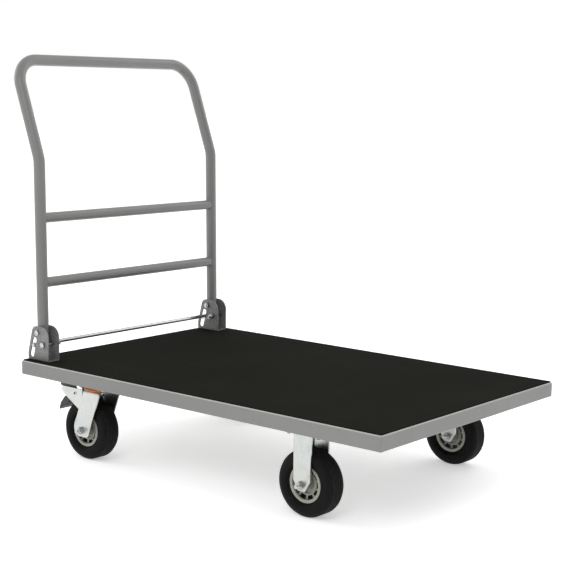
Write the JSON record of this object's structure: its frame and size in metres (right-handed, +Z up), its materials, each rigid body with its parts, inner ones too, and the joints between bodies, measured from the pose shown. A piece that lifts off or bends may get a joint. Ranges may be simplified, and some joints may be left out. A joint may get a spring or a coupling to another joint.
{
  "type": "flatbed platform truck",
  "caption": "Flatbed platform truck: matted steel deck on fixed and braked swivel casters, with a folding tubular push handle and a foot release rod.",
  "frame": {"origin": "on the floor, in the middle of the whole truck's length and width", "axes": "+X from the handle end to the front, +Y to the left of the person behind the handle, +Z up"},
  "size_m": [1.177, 0.7, 0.983],
  "materials": {
    "powder_coat": "satin grey powder coat",
    "bracket_coat": "textured grey powder coat",
    "mat": "matte black, fine pebble",
    "zinc": "bright zinc plate",
    "bright_steel": "bright plated",
    "bare_steel": "plain steel",
    "tyre": "matte black rubber",
    "rim": "grey moulded plastic",
    "dust_ring": "orange moulded plastic",
    "pedal": "black moulded plastic",
    "brake_coat": "dark slate coat, half gloss"
  },
  "bodies": {
    "deck": {"deck_sheet": "powder_coat", "side_rail_left": "powder_coat", "side_rail_right": "powder_coat", "end_rail_front": "powder_coat", "end_rail_rear": "powder_coat", "caster_rail_front": "powder_coat", "caster_rail_rear": "powder_coat", "stiffeners": "powder_coat", "deck_mat": "mat", "handle_bracket_left": "bracket_coat", "handle_bracket_right": "bracket_coat", "bracket_screws": "bright_steel", "bracket_nuts": "bright_steel", "pivot_bolts": "bright_steel", "pivot_nuts": "bright_steel", "stop_bolts": "bright_steel", "stop_nuts": "bright_steel", "caster_bolts": "bright_steel", "caster_nuts": "bright_steel", "fork_front_left": "zinc", "fork_front_right": "zinc", "axle_bolts_front": "bright_steel", "axle_nuts_front": "bright_steel", "swivel_plate_left": "zinc", "swivel_plate_right": "zinc", "release_springs": "bare_steel"},
    "handle": {"handle_tube": "powder_coat", "handle_rung_upper": "powder_coat", "handle_rung_lower": "powder_coat", "pivot_bushes": "bare_steel"},
    "release_bar": {"release_rod": "bright_steel", "release_rod_clips": "bright_steel"},
    "swivel_left": {"fork_rear_left": "zinc", "dust_ring_left": "dust_ring", "kingpin_left": "zinc", "axle_bolt_rear_left": "bright_steel", "axle_nut_rear_left": "bright_steel", "brake_pin_left": "zinc"},
    "brake_left": {"brake_lever_left": "brake_coat", "brake_pedal_left": "pedal"},
    "wheel_front_left": {"tyre_front_left": "tyre", "rim_front_left": "rim", "bearings_front_left": "bare_steel"},
    "wheel_rear_left": {"tyre_rear_left": "tyre", "rim_rear_left": "rim", "bearings_rear_left": "bare_steel"},
    "swivel_right": {"fork_rear_right": "zinc", "dust_ring_right": "dust_ring", "kingpin_right": "zinc", "axle_bolt_rear_right": "bright_steel", "axle_nut_rear_right": "bright_steel", "brake_pin_right": "zinc"},
    "brake_right": {"brake_lever_right": "brake_coat", "brake_pedal_right": "pedal"},
    "wheel_front_right": {"tyre_front_right": "tyre", "rim_front_right": "rim", "bearings_front_right": "bare_steel"},
    "wheel_rear_right": {"tyre_rear_right": "tyre", "rim_rear_right": "rim", "bearings_rear_right": "bare_steel"}
  },
  "joints": [
    {"name": "handle_fold", "type": "hinge", "parent": "deck", "child": "handle", "pos_m": [-0.4755, 0, 0.298], "axis": [0, 1, 0], "range_deg": [0, 98]},
    {"name": "release_press", "type": "slide", "parent": "deck", "child": "release_bar", "axis": [-0.2609, 0, -0.9654], "range_m": [0, 0.023], "stiffness_N_per_m": 800, "springref_m": -0.02, "deforming": ["release_springs"]},
    {"name": "swivel_left", "type": "hinge", "parent": "deck", "child": "swivel_left", "pos_m": [-0.2915, 0.286, 0.18], "axis": [0, 0, 1], "continuous": true},
    {"name": "brake_left", "type": "hinge", "parent": "swivel_left", "child": "brake_left", "pos_m": [-0.351, 0.286, 0.163], "axis": [0, -1, 0], "range_deg": [0, 9.5]},
    {"name": "wheel_front_left_spin", "type": "hinge", "parent": "deck", "child": "wheel_front_left", "pos_m": [0.3625, 0.286, 0.074], "axis": [0, 1, 0], "continuous": true},
    {"name": "wheel_rear_left_spin", "type": "hinge", "parent": "swivel_left", "child": "wheel_rear_left", "pos_m": [-0.3255, 0.286, 0.074], "axis": [0, 1, 0], "continuous": true},
    {"name": "swivel_right", "type": "hinge", "parent": "deck", "child": "swivel_right", "pos_m": [-0.2915, -0.286, 0.18], "axis": [0, 0, 1], "continuous": true},
    {"name": "brake_right", "type": "hinge", "parent": "swivel_right", "child": "brake_right", "pos_m": [-0.351, -0.286, 0.163], "axis": [0, -1, 0], "range_deg": [0, 9.5]},
    {"name": "wheel_front_right_spin", "type": "hinge", "parent": "deck", "child": "wheel_front_right", "pos_m": [0.3625, -0.286, 0.074], "axis": [0, 1, 0], "continuous": true},
    {"name": "wheel_rear_right_spin", "type": "hinge", "parent": "swivel_right", "child": "wheel_rear_right", "pos_m": [-0.3255, -0.286, 0.074], "axis": [0, 1, 0], "continuous": true}
  ]
}
